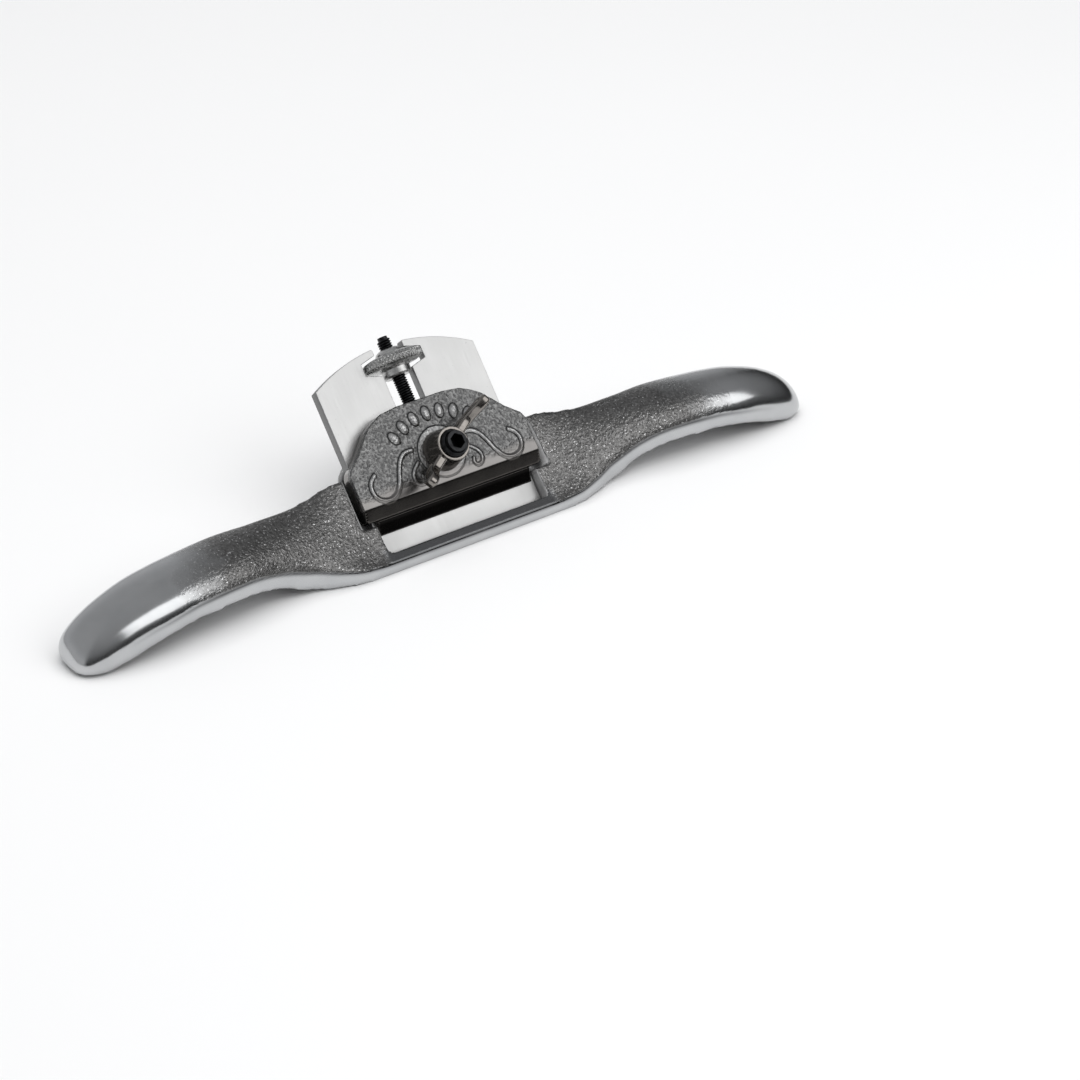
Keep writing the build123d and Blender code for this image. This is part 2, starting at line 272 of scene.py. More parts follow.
TIP_X = STATION_X[-1]
spread = [0.0]
while spread[-1] < TIP_X - 0.1:
    step = 1.6 if spread[-1] < 110 else 0.9     # closer together where the tip rounds off
    spread.append(min(spread[-1] + step, TIP_X))
sections = [(x, section_ring(x)) for x in [-v for v in reversed(spread[1:])] + spread]
casting = made(skin_over(sections), "spokeshave_body")

TROUGH_START = 42.0
TROUGH_END = 119.5
TROUGH_SECTIONS = 70
WALL = 2.3
troughs = []
for side in (1, -1):
    rings = []
    for k in range(TROUGH_SECTIONS):
        x = TROUGH_START + (TROUGH_END - TROUGH_START) * k / (TROUGH_SECTIONS - 1)
        near = max(0.0, 1 - (x - TROUGH_START) / 9) ** 2
        far = max(0.0, 1 - (TROUGH_END - x) / 6) ** 2
        thickness = WALL + 4.0 * near + 1.6 * far   # the wall thickens towards both ends
        rings.append((side * x, pulled_in(section_ring(x), thickness)))
    troughs.append(made(skin_over(rings), "trough"))
cut_by(casting, troughs)


def bed_block(half, bottom, top, low, high):
    """A block on the bed: |x| up to half, s from bottom to top, o from low to high."""
    return prism([(-half, bottom), (half, bottom), (half, top), (-half, top)], low, high)


CHEEK_HALF = 31.0
CHEEK_LOW = 11.4
MOUTH_HALF = 27.4
MOUTH_FRONT = -0.7
MOUTH_CORNER_R = 1.4
FLARE_LOW, FLARE_HIGH, FLARE_OUT = 1.3, 8.0, 5.4    # how the cheeks' inner edges splay
BOSS_HALF, BOSS_LOW, BOSS_TOP, BOSS_RISE = 4.7, 29.5, 38.0, 1.7
STUD_NOTCH_R = 2.9
recess = bed_block(CHEEK_HALF, CHEEK_LOW, 70, -CUTTER_T, 30)
flare = bed_block(CHEEK_HALF, CHEEK_LOW, 60, FLARE_LOW, FLARE_HIGH)
for vert in flare.verts:
    if vert.co.z > FLARE_LOW + 1:
        vert.co.x *= 1 + FLARE_OUT / CHEEK_HALF
mouth_top = on_bed(CHEEK_LOW + 0.5, -CUTTER_T)
mouth = across(
    [
        (MOUTH_FRONT, -1),
        (CUTTER_T / math.sin(BED_ANGLE) - 1, -1),
        mouth_top,
        (MOUTH_FRONT, mouth_top[1] + mouth_top[0] - MOUTH_FRONT),
    ],
    MOUTH_HALF,
)
at_front = [e for e in mouth.edges if all(v.co.y < MOUTH_FRONT + 0.01 for v in e.verts)]
corners = [e for e in at_front if abs(e.verts[0].co.x - e.verts[1].co.x) < 0.01]
bmesh.ops.bevel(
    mouth, geom=corners, offset=MOUTH_CORNER_R, segments=5, profile=0.5, affect="EDGES", material=-1
)
boss = bed_block(BOSS_HALF, BOSS_LOW, BOSS_TOP, -CUTTER_T - 0.5, BOSS_RISE)
stud_notch = rod(STUD_NOTCH_R, BOSS_TOP, 46, 0, -CUTTER_T - 0.4)
bed_to_edge = EDGE_TO_ROW.inverted() @ BED_TO_ROW
for shape in (recess, flare, boss, stud_notch):
    shape.transform(bed_to_edge)
cut_by(casting, [made(recess, "recess"), made(flare, "flare"), made(mouth, "mouth")])
cut_by(casting, [made(boss, "boss")], "UNION")
cut_by(casting, [made(stud_notch, "stud_notch")])
casting.data.transform(EDGE_TO_ROW)
add_modifier(casting, "REMESH", mode="VOXEL", voxel_size=0.52 * MM, use_smooth_shade=True)
add_modifier(casting, "SMOOTH", factor=0.5, iterations=3)
finished(casting)
# Filed smooth by hand: each stretch starts at one x and is in full effect this much further.
for name, start, length, passes in (("handles", 35, 9, 14), ("grips", 82, 18, 60)):
    group = casting.vertex_groups.new(name=name)
    for vert in casting.data.vertices:
        reach = (abs(vert.co.x) / MM - start) / length
        if reach > 0:
            group.add([vert.index], min(1.0, reach), "REPLACE")
    add_modifier(casting, "SMOOTH", factor=0.5, iterations=passes, vertex_group=name)
finished(casting)


def bed_o(y, z):
    """Height out of the bed, from the cutter's front face, of a point in the section."""
    return z * math.cos(BED_ANGLE) - y * math.sin(BED_ANGLE)


def eased(value, low, high):
    """0 below low, 1 above high, and even between."""
    return np.clip((value - low) / (high - low), 0, 1)


def finish_map(obj):
    """Writes how each point of the skin is finished, as attributes from 0 to 1."""
    mesh = obj.data
    co = np.empty(len(mesh.vertices) * 3)
    mesh.vertices.foreach_get("co", co)
    co = co.reshape(-1, 3) / MM
    facing = np.array([tuple(v.normal) for v in mesh.vertices])
    ax, y, z = np.abs(co[:, 0]), co[:, 1] - EDGE_Y, co[:, 2]
    grid = np.linspace(0, TIP_X, 500)
    table = np.array([np.array(station_points(g)).ravel() for g in grid])
    tracks = [np.interp(ax, grid, table[:, k]) for k in range(16)]
    foot_y, foot_z, crease_y, crease_z = tracks[0:4]
    crest_y, crest_z = tracks[8:10]

    # The trough's walls face the middle of the section.
    out_y = y - (foot_y + crest_y) / 2
    out_z = z - (foot_z + crest_z) / 2 + 1
    hollow = (facing[:, 1] * out_y + facing[:, 2] * out_z < 0) & (ax > TROUGH_START - 1)
    hollow = hollow & (ax < TROUGH_END + 0.6)

    # The cast skin starts at the crease, covers the top and gives way to polish on the grips.
    past_crease = (z - crease_z) * 0.6 + (y - crease_y) * 0.8
    top = eased(past_crease, -0.1, 0.6) * eased(facing[:, 2], -0.05, 0.3)
    top = top * (1 - eased(ax + 0.4 * (y - crease_y), 74, 101))
    # Painted shade: a dark line along the crease, fading out towards the grips.
    crease = np.exp(-((past_crease / 0.42) ** 2)) * (1 - eased(ax, 82, 112))
    crease = crease * (z > crease_z - 1.5) * (y < crease_y + 2.0)

    # The bed is flat, the cheeks' inner edges are filed bare and painted light as a highlight, the bar's top
    # is smooth and dark.
    machined = (np.abs(bed_o(y, z) + CUTTER_T) < 0.5) & (ax < CHEEK_HALF + 0.3)
    inward = -facing[:, 0] * np.sign(co[:, 0])
    cheek = eased(inward, 0.3, 0.5) * (ax > MOUTH_HALF - 0.9) * (ax < CHEEK_HALF + 3) * (z > 1.0)
    bar = (1 - eased(ax, 28, 30)) * (y < 0.5) * (z < 7) * (facing[:, 2] > 0.4)

    # The back of the saddle and the troughs are as cast too; the sole and the bed are ground.
    saddle = eased(facing[:, 1], 0.1, 0.4) * eased(z, 5.5, 7.0) * (1 - eased(ax, 20, 24))
    cast = np.where(machined, 0.0, np.maximum(saddle, top)) * (1 - cheek)
    cast = np.where(hollow, 1.0, cast)
    ground = ((facing[:, 2] < -0.9) & (z < 0.4)) | machined
    marks = {"as_cast": cast, "ground": ground, "hollow": hollow}
    marks.update({"bar": bar, "crease": crease, "cheek": cheek})
    for name, values in marks.items():
        layer = mesh.attributes.new(name, "FLOAT", "POINT")
        layer.data.foreach_set("value", np.asarray(values, dtype=np.float32))


finish_map(casting)


class Value:
    """One output of a shader node, so that sums on it add Math nodes."""

    def __init__(self, nodes, socket):
        self.nodes, self.socket = nodes, socket

    def math(self, operation, *others):
        node = self.nodes.tree.nodes.new("ShaderNodeMath")
        node.operation = operation
        for slot, item in zip(node.inputs, (self, *others)):
            self.nodes.feed(slot, item)
        return Value(self.nodes, node.outputs[0])

    def __add__(self, other):
        return self.math("ADD", other)

    def __sub__(self, other):
        return self.math("SUBTRACT", other)

    def __rsub__(self, other):
        return self.math("MULTIPLY", -1.0).math("ADD", other)

    def __mul__(self, other):
        return self.math("MULTIPLY", other)

    def __truediv__(self, other):
        return self.math("DIVIDE", other)

    __radd__ = __add__
    __rmul__ = __mul__

    def clipped(self):
        return self.math("MAXIMUM", 0.0).math("MINIMUM", 1.0)

    def ramp(self, low, high):
        """0 below low, 1 above high, and even between."""
        return ((self - low) / (high - low)).clipped()


class Nodes:
    """A node tree, and the ways of adding to it."""

    def __init__(self, tree):
        self.tree = tree

    def feed(self, slot, item):
        if isinstance(item, Value):
            self.tree.links.new(item.socket, slot)
        else:
            slot.default_value = item

    def node(self, kind, output=0, settings=None, stops=None, **inputs):
        """Any other node; stops are a ramp's. Inputs go by name, or by number as i0 and so on."""
        node = self.tree.nodes.new("ShaderNode" + kind)
        for key, value in (settings or {}).items():
            setattr(node, key, value)
        if stops:
            elements = node.color_ramp.elements
            while len(elements) < len(stops):
                elements.new(0.5)
            for element, (place, colour) in zip(elements, stops):
                element.position, element.color = place, colour
        for key, item in inputs.items():
            name = int(key[1:]) if key[1:].isdigit() else key.replace("_", " ")
            self.feed(node.inputs[name], item)
        return Value(self, node.outputs[output])

    def mix(self, factor, first, second):
        return self.node("Mix", output=2, settings={"data_type": "RGBA"}, i0=factor, i6=first, i7=second)


class Finish(Nodes):
    """A surface finish: a Principled material and the nodes that feed it."""

    def __init__(self, name, **constants):
        self.material = bpy.data.materials.new(name)
        self.material.use_nodes = True
        super().__init__(self.material.node_tree)
        self.shader = self.tree.nodes["Principled BSDF"]
        for key, value in constants.items():
            self.shader.inputs[key.replace("_", " ")].default_value = value

    def place(self):
        return self.node("TexCoord", output="Object")

    def noise(self, size_mm, vector=None, detail=3.0, roughness=0.5, stretch=None):
        vector = vector or self.place()
        if stretch:
            vector = self.node("Mapping", Vector=vector, Scale=stretch)
        return self.node(
            "TexNoise", Vector=vector, Scale=1000.0 / size_mm, Detail=detail, Roughness=roughness
        )

    def attribute(self, name):
        return self.node("Attribute", output="Fac", settings={"attribute_name": name})

    def bump(self, height, distance_mm, strength=1.0, normal=None):
        extra = {"Normal": normal} if normal else {}
        return self.node("Bump", Height=height, Distance=distance_mm * MM, Strength=strength, **extra)

    def apply(self, **looks):
        for key, item in looks.items():
            self.feed(self.shader.inputs[key.replace("_", " ")], item)
        return self.material


def iron_finish():
    skin = Finish("cast_iron_skin", Metallic=1.0, Specular_IOR_Level=0.5)
    cast = skin.attribute("as_cast")
    ground = skin.attribute("ground")
    hollow = skin.attribute("hollow")
    bar = skin.attribute("bar")
    crease = skin.attribute("crease")
    cheek = skin.attribute("cheek")
    patchy = skin.noise(7.0, detail=4.0)
    edge = (cast + (patchy - 0.5) * 0.6).ramp(0.2, 0.8) * (1 - bar * 0.93)
    grain = skin.noise(0.8, detail=2.0, roughness=0.55)
    coarse = skin.noise(2.6, detail=2.0)
    peaks = (grain * 0.8 + coarse * 0.2).ramp(0.38, 0.7)
    glint = skin.noise(0.55, detail=1.0).ramp(0.66, 0.72)
    cast_colour = skin.mix(peaks, (0.13, 0.128, 0.126, 1), (0.26, 0.257, 0.253, 1))
    cast_colour = skin.mix(glint, cast_colour, (0.75, 0.75, 0.75, 1))
    hollow_colour = skin.mix(peaks, (0.05, 0.05, 0.05, 1), (0.17, 0.17, 0.167, 1))
    polish_colour = skin.mix(patchy, (0.45, 0.46, 0.47, 1), (0.56, 0.565, 0.57, 1))
    ground_colour = skin.mix(patchy, (0.33, 0.33, 0.33, 1), (0.42, 0.42, 0.42, 1))
    base = skin.mix(ground, polish_colour, ground_colour)
    base = skin.mix(bar * 0.85, base, (0.11, 0.112, 0.116, 1))
    base = skin.mix(edge, base, skin.mix(hollow, cast_colour, hollow_colour))
    # Painted highlight on the filed cheeks: light grey and only half metallic, so that they look lit.
    base = skin.mix(cheek, base, skin.mix(patchy.ramp(0.35, 0.65), (0.5, 0.5, 0.5, 1), (0.78, 0.78, 0.78, 1)))
    # Painted shade: a near-black line along the crease between the front and the top.
    base = skin.mix(crease * 0.85, base, (0.015, 0.015, 0.016, 1))
    scratches = skin.noise(1.6, detail=5.0, stretch=(0.08, 1.0, 1.0))
    smooth_rough = 0.12 + scratches * 0.09 + ground * 0.26 + cheek * 0.28
    cast_rough = 0.36 - peaks * 0.08 + hollow * 0.15
    rough = smooth_rough * (1 - edge) + cast_rough * edge
    bumpy = skin.bump((grain + coarse * 0.5) * edge, 0.26)
    fine = skin.bump(scratches * (1 - edge), 0.012, normal=bumpy)
    return skin.apply(Base_Color=base, Roughness=rough, Metallic=1 - cheek * 0.5, Normal=fine)


casting.data.materials.clear()
casting.data.materials.append(iron_finish())
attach(casting, "frame")
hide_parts("body")

# ---- Adjuster stud ------------------------------------------------------------------
# Black M4 stud, screwed into the boss at the top of the bed; it stands up the
# cutter's slot and carries the adjuster nut.

ADJUSTER_O = -0.8


def thread(major, minor, pitch, low, high, steps=28):
    """A threaded rod along z with a helical V groove and chamfered ends, in mm."""
    bm = bmesh.new()
    flank = [(minor, 0.0), (major, 0.36 * pitch), (major, 0.64 * pitch), (minor, pitch)]
    verts = [bm.verts.new((r, 0, low + h)) for r, h in flank]
    edges = [bm.edges.new(pair) for pair in zip(verts, verts[1:])]
    turns = int((high - low) / pitch) - 1
    bmesh.ops.spin(
        bm,
        geom=verts + edges,
        cent=(0, 0, 0),
        axis=(0, 0, 1),
        dvec=(0, 0, pitch / steps),
        angle=turns * 2 * math.pi,
        steps=turns * steps,
    )
    bmesh.ops.remove_doubles(bm, verts=bm.verts, dist=0.01)
    core_r = minor + 0.02
    core = bmesh.ops.create_cone(
        bm, cap_ends=True, segments=steps, radius1=core_r, radius2=core_r, depth=high - low + 0.2
    )
    bmesh.ops.translate(bm, verts=core["verts"], vec=(0, 0, (high + low - 0.2) / 2))
    for vert in bm.verts:
        over = vert.co.z - (high - (major - minor) - 0.25)
        if over > 0:
            flat = Vector((vert.co.x, vert.co.y, 0))
            limit = max(minor * 0.9, major - over)
            if flat.length > limit:
                vert.co.x *= limit / flat.length
                vert.co.y *= limit / flat.length
    bmesh.ops.recalc_face_normals(bm, faces=bm.faces)
    return bm


def smooth_by_angle(obj, degrees):
    mesh = obj.data
    mesh.polygons.foreach_set("use_smooth", [True] * len(mesh.polygons))
    mesh.set_sharp_from_angle(angle=math.radians(degrees))


STUD_TOP_S = 61.0
adjuster_rod = thread(major=1.97, minor=1.6, pitch=0.7, low=31.0, high=STUD_TOP_S)
adjuster_rod.transform(Matrix.Translation((0, 0, ADJUSTER_O)) @ Matrix.Rotation(-math.pi / 2, 4, "X"))
adjuster_stud = made(adjuster_rod, "depth_stud", BED_TO_ROW)
smooth_by_angle(adjuster_stud, 40)


def black_oxide():
    skin = Finish("black_oxide", Metallic=0.9)
    worn = skin.noise(1.4, detail=4.0).ramp(0.35, 0.8)
    return skin.apply(
        Base_Color=skin.mix(worn, (0.012, 0.012, 0.013, 1), (0.05, 0.052, 0.055, 1)),
        Roughness=0.28 + worn * 0.2,
        Normal=skin.bump(worn, 0.01),
    )


oxide = black_oxide()
adjuster_stud.data.materials.append(oxide)
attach(adjuster_stud, "frame")
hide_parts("adjuster_stud")

# ---- Clamp stud ---------------------------------------------------------------------
# Black M8 socket set screw, screwed into the bed through the cutter's slot. Its
# hexagon socket stays open at the top, just above the wing nut.

STUD_S = 24.7
STUD_TOP = 14.6
HEX_R, HEX_DEPTH = 2.3, 4.5
clamp_rod = thread(major=3.95, minor=3.3, pitch=1.25, low=-6.0, high=STUD_TOP, steps=36)
clamp_rod.transform(Matrix.Translation((0, STUD_S, 0)))
clamp_stud = made(clamp_rod, "clamp_stud_threaded", BED_TO_ROW)
hex_socket = bmesh.new()
bmesh.ops.create_cone(
    hex_socket, cap_ends=True, segments=6, radius1=HEX_R, radius2=HEX_R, depth=2 * HEX_DEPTH
)
bmesh.ops.translate(hex_socket, verts=hex_socket.verts, vec=(0, STUD_S, STUD_TOP))
cut_by(clamp_stud, [made(hex_socket, "hex_socket", BED_TO_ROW)])
smooth_by_angle(clamp_stud, 40)
clamp_stud.data.materials.clear()
clamp_stud.data.materials.append(oxide)
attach(clamp_stud, "frame")
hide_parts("clamp_stud")

# ---- Cutter -------------------------------------------------------------------------
# Tool-steel plate, 54 mm wide and 3 mm thick, ground on both faces, with a bevel at
# the mouth, a slot over the studs and a cross notch that the adjuster disc sits in.

CUTTER_HALF = 27.0
ARCH_R = 57.0
ARCH_CENTRE = 1.8
SLOT_HALF = 5.0
NOTCH_HALF, NOTCH_LOW, NOTCH_HIGH = 10.1, 51.9, 55.4
BEVEL_BACK = 5.2        # where the bevel under the edge ends, up the bed
right_edge = [(CUTTER_HALF, 0.0), (CUTTER_HALF, 52.0)]
for k in range(1, 15):
    x = CUTTER_HALF + (SLOT_HALF + 0.4 - CUTTER_HALF) * k / 14
    right_edge.append((x, ARCH_CENTRE + math.sqrt(ARCH_R ** 2 - x ** 2)))
right_edge += [(SLOT_HALF, 58.2), (SLOT_HALF, 56.7)]
right_edge += [(NOTCH_HALF, NOTCH_HIGH), (NOTCH_HALF, NOTCH_LOW), (SLOT_HALF, 50.5)]
right_edge += [
    (SLOT_HALF * math.cos(a * math.pi / 16), 17.0 - SLOT_HALF * math.sin(a * math.pi / 16))
    for a in range(9)
]
outline = right_edge + [(-x, s) for x, s in reversed(right_edge[:-1])]
blade = prism(outline, -CUTTER_T, 0.0)
for vert in blade.verts:
    if vert.co.y < 0.01 and vert.co.z < -1:
        vert.co.y = BEVEL_BACK
cutter = made(blade, "cutter_plate", BED_TO_ROW)
add_modifier(cutter, "BEVEL", width=0.14 * MM, segments=2, limit_method="ANGLE", angle_limit=math.radians(25))
finished(cutter)
smooth_by_angle(cutter, 20)


def ground_steel():
    skin = Finish("ground_steel", Metallic=1.0)
    across_grain = skin.noise(0.5, detail=4.0, roughness=0.6, stretch=(1.0, 0.05, 0.05))
    cloud = skin.noise(14.0, detail=3.0)
    speck = skin.noise(0.7, detail=2.0).ramp(0.70, 0.78)
    tone = skin.mix(cloud, (0.56, 0.56, 0.555, 1), (0.66, 0.66, 0.655, 1))
    out_of_bed = (0.0, -math.sin(BED_ANGLE), math.cos(BED_ANGLE))
    normal = skin.node("TexCoord", output="Normal")
    dot = {"operation": "DOT_PRODUCT"}
    facing = skin.node("VectorMath", output=1, settings=dot, i0=normal, i1=out_of_bed)
    rim = 1 - facing.math("ABSOLUTE").ramp(0.2, 0.6)
    tone = skin.mix(rim, tone, (0.2, 0.2, 0.2, 1))
    return skin.apply(
        Base_Color=skin.mix(speck * 0.4, tone, (0.3, 0.3, 0.3, 1)),
        Roughness=0.34 + across_grain * 0.12,
        Normal=skin.bump(across_grain, 0.006),
    )


cutter.data.materials.append(ground_steel())
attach(cutter, "cutter")
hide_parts("cutter")

# ---- Adjuster nut -------------------------------------------------------------------
# Steel disc, 18 mm across, with a diamond knurl on its rounded rim and a plain hub
# on each side; it turns on the adjuster stud and its rim drives the cutter.

DISC_S = 53.7
DISC_R = 9.1
KNURLS = 52
KNURL_START, KNURL_DEPTH = 7.5, 0.42
RIM = 1.4
nut_profile = [(2.02, -4.6), (3.7, -4.6), (4.2, -4.1), (4.2, -2.4), (4.7, -1.9), (7.4, -1.6)]
nut_profile += [
    (DISC_R - RIM + RIM * math.cos(a), 1.43 * math.sin(a))
    for a in [math.radians(-78 + 156 * k / 14) for k in range(15)]
]
nut_profile += [(7.4, 1.6), (4.6, 1.75), (4.2, 2.0), (4.0, 2.6), (3.5, 3.2), (2.8, 3.6), (2.02, 3.65)]
turned = bmesh.new()
ring_verts = [turned.verts.new((r, 0, h)) for r, h in nut_profile]
ring_edges = [turned.edges.new(pair) for pair in zip(ring_verts, ring_verts[1:] + ring_verts[:1])]
bmesh.ops.spin(
    turned,
    geom=ring_verts + ring_edges,
    cent=(0, 0, 0),
    axis=(0, 0, 1),
    angle=2 * math.pi,
    steps=KNURLS * 8,
    use_merge=True,
)
bmesh.ops.remove_doubles(turned, verts=turned.verts, dist=1e-4)
for vert in turned.verts:
    reach = math.hypot(vert.co.x, vert.co.y)
    if reach > KNURL_START:
        turn = math.atan2(vert.co.y, vert.co.x) * KNURLS
        slant = vert.co.z * 4.2
        groove = min(abs(math.sin((turn + slant) / 2)), abs(math.sin((turn - slant) / 2)))
        depth = KNURL_DEPTH * (1 - groove) ** 2 * min(1.0, (reach - KNURL_START) / 1.1)
        vert.co.x *= (reach - depth) / reach
        vert.co.y *= (reach - depth) / reach
bmesh.ops.recalc_face_normals(turned, faces=turned.faces)
turned.transform(Matrix.Translation((0, DISC_S, ADJUSTER_O)) @ Matrix.Rotation(-math.pi / 2, 4, "X"))
adjuster_nut = made(turned, "depth_nut", BED_TO_ROW)
smooth_by_angle(adjuster_nut, 35)


def knurled_steel():
    skin = Finish("knurled_steel", Metallic=1.0)
    grime = skin.noise(1.2, detail=4.0).ramp(0.35, 0.7)
    return skin.apply(
        Base_Color=skin.mix(grime, (0.4, 0.4, 0.395, 1), (0.66, 0.66, 0.65, 1)),
        Roughness=0.24 + grime * 0.12,
        Normal=skin.bump(grime, 0.02),
    )


adjuster_nut.data.materials.append(knurled_steel())
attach(adjuster_nut, "adjuster_nut")
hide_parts("adjuster_nut")

# ---- Lever cap ----------------------------------------------------------------------
# Cast cap that presses the cutter to the bed. Raised scrolls and beads stand on its
# as-cast face; the band below them, the steep front and the tip are polished.

CAP_HALF = 30.0
CAP_TOP = 4.6
shoulder = [(30.0, 26.2), (29.4, 27.6), (28.2, 28.6), (25.2, 30.9), (22.2, 34.0)]
shoulder += [(19.6, 36.7), (16.8, 38.4), (13.6, 39.9), (8.0, 40.6)]
cap_outline = [(-x, s) for x, s in shoulder] + [(x, s) for x, s in reversed(shoulder)]
cap_outline += [(CAP_HALF, 13.4), (29.4, 12.6), (-29.4, 12.6), (-CAP_HALF, 13.4)]
lid = prism(cap_outline, 0.1, CAP_TOP)
bmesh.ops.bisect_plane(
    lid,
    geom=lid.verts[:] + lid.edges[:] + lid.faces[:],
    plane_co=(0, 16.2, CAP_TOP),
    plane_no=(0, -2.2, 4.5),
    clear_outer=True,
)
bmesh.ops.holes_fill(lid, edges=[e for e in lid.edges if e.is_boundary], sides=0)
lever_cap = made(lid, "lever_cap_casting")
tip = across([(8.6, 0.1), (8.6, 0.6), (11.5, 1.75), (14.0, 2.4), (14.0, 0.1)], 26.2)
under_outline = [(-27.6, 13.2), (27.6, 13.2), (27.6, 26.5), (16.5, 35.8), (-16.5, 35.8), (-27.6, 26.5)]
under = prism(under_outline, -1, 2.4)
stud_gap = prism([(-5.4, 30), (5.4, 30), (5.4, 45), (-5.4, 45)], -1, 2.4)
collar = rod(7.4, 2.3, CAP_TOP + 0.35, STUD_S, 0, along="out")
cut_by(lever_cap, [made(tip, "cap_tip")], "UNION")
cut_by(lever_cap, [made(under, "cap_under"), made(stud_gap, "stud_gap")])
cut_by(lever_cap, [made(collar, "collar")], "UNION")


def raised_line(points, radius):
    """A half-buried cast rib along a smooth curve on the cap's face, in mm."""
    curve = bpy.data.curves.new("rib", "CURVE")
    curve.dimensions = "3D"
    spline = curve.splines.new("NURBS")
    spline.points.add(len(points) - 1)
    for place, (x, s) in zip(spline.points, points):
        place.co = (x, s, CAP_TOP, 1)
    spline.order_u = 3
    spline.use_endpoint_u = True
    curve.bevel_depth = radius
    curve.bevel_resolution = 3
    curve.use_fill_caps = True
    holder = bpy.data.objects.new("rib", curve)
    bpy.context.scene.collection.objects.link(holder)
    graph = bpy.context.evaluated_depsgraph_get()
    mesh = bpy.data.meshes.new_from_object(holder.evaluated_get(graph))
    bpy.data.objects.remove(holder)
    rib = bpy.data.objects.new("rib", mesh)
    bpy.context.scene.collection.objects.link(rib)
    return rib


scroll = [(22.6, 24.6), (24.8, 23.4), (25.8, 20.6), (24.6, 17.6), (21.6, 16.5), (18.6, 17.2), (16.4, 20.2)]
scroll += [(15.0, 23.6), (13.4, 26.4), (10.8, 28.0), (8.6, 27.6)]
leaf = [(8.2, 24.0), (10.4, 22.6), (11.8, 20.4), (11.2, 18.2), (9.2, 17.6), (8.2, 19.0), (9.0, 20.2)]
ornaments = []
for side in (1, -1):
    ornaments.append(raised_line([(side * x, s) for x, s in scroll], 0.62))
    ornaments.append(raised_line([(side * x, s) for x, s in leaf], 0.5))
BEADS = 7
for k in range(BEADS):
    angle = math.radians(-34 + 68 * k / (BEADS - 1))
    bead = bmesh.new()
    bmesh.ops.create_uvsphere(bead, u_segments=20, v_segments=12, radius=1.0)
    bmesh.ops.scale(bead, verts=bead.verts, vec=(1.4, 2.2, 0.85))
    bmesh.ops.rotate(bead, verts=bead.verts, matrix=Matrix.Rotation(-angle, 3, "Z"))
    bmesh.ops.translate(
        bead, verts=bead.verts, vec=(22.5 * math.sin(angle), 13.6 + 22.5 * math.cos(angle), CAP_TOP)
    )
    ornaments.append(made(bead, "bead"))
cut_by(lever_cap, ornaments, "UNION")
cut_by(lever_cap, [made(rod(4.6, -1, 9, STUD_S, 0, along="out"), "cap_hole")])
lever_cap.data.transform(BED_TO_ROW)
add_modifier(lever_cap, "REMESH", mode="VOXEL", voxel_size=0.25 * MM, use_smooth_shade=True)
add_modifier(lever_cap, "SMOOTH", factor=0.5, iterations=2)
finished(lever_cap)


def cap_finish():
    skin = Finish("cap_casting", Metallic=1.0)
    place = skin.place()
    y = skin.node("SeparateXYZ", output=1, Vector=place)
    z = skin.node("SeparateXYZ", output=2, Vector=place)
    # How far up the bed and out of it, in mm.
    up = ((y - EDGE_Y * MM) + z) * (math.sqrt(0.5) / MM)
    out = (z - (y - EDGE_Y * MM)) * (math.sqrt(0.5) / MM)
    grain = skin.noise(0.75, detail=2.0, roughness=0.55)
    patchy = skin.noise(6.0, detail=3.0)
    cast = (up + (patchy - 0.5) * 3.0).ramp(18.2, 20.2) * out.ramp(2.8, 3.6)
    # Painted highlight: the tops of the raised scrolls and beads are painted light, and the flat face keeps
    # the darker cast colour.
    flat_face = 1 - out.ramp(4.6, 5.1)
    sparkle = grain.ramp(0.38, 0.7)
    cast_colour = skin.mix(sparkle, (0.12, 0.12, 0.12, 1), (0.27, 0.27, 0.267, 1))
    raised_highlight_colour = skin.mix(sparkle, (0.42, 0.42, 0.42, 1), (0.66, 0.66, 0.65, 1))
    cast_colour = skin.mix(flat_face, raised_highlight_colour, cast_colour)
    # Painted shade: a near-black band along the flanks of the raised ribs and beads.
    flank = out.ramp(4.63, 4.7) * (1 - out.ramp(4.82, 4.98))
    cast_colour = skin.mix(flank * 0.85, cast_colour, (0.02, 0.02, 0.02, 1))
    smooth_colour = skin.mix(patchy, (0.2, 0.19, 0.185, 1), (0.3, 0.29, 0.28, 1))
    base = skin.mix(cast, smooth_colour, cast_colour)
    bevel = 1 - out.ramp(4.35, 4.6)
    # The polished steep front is painted near-black, a painted dark reflection.
    front = 1 - up.ramp(16.05, 16.3)
    front_dark_reflection = skin.mix(patchy, (0.045, 0.042, 0.04, 1), (0.08, 0.075, 0.07, 1))
    base = skin.mix(front * (1 - cast), base, front_dark_reflection)
    rough = (0.3 - bevel * 0.21 + patchy * 0.05) * (1 - cast) + (0.38 - sparkle * 0.1) * cast
    return skin.apply(Base_Color=base, Roughness=rough, Normal=skin.bump((grain + patchy) * cast, 0.24))


lever_cap.data.materials.clear()
lever_cap.data.materials.append(cap_finish())
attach(lever_cap, "lever_cap")
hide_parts("lever_cap")

# ---- Wing nut -----------------------------------------------------------------------
# Polished steel wing nut on the clamp stud: a tapered round boss with two thin
# wings that sweep up and out.

NUT_LOW = CAP_TOP + 0.45
NUT_TOP = 12.2
NUT_LOW_R, NUT_TOP_R, BORE_R = 5.95, 4.9, 4.0
nut_boss = bmesh.new()
bmesh.ops.create_cone(
    nut_boss,
    cap_ends=True,
    segments=64,
    radius1=NUT_LOW_R,
    radius2=NUT_TOP_R,
    depth=NUT_TOP - NUT_LOW,
)
bmesh.ops.translate(nut_boss, verts=nut_boss.verts, vec=(0, 0, (NUT_LOW + NUT_TOP) / 2))
wing_nut = made(nut_boss, "wing_nut_forging")


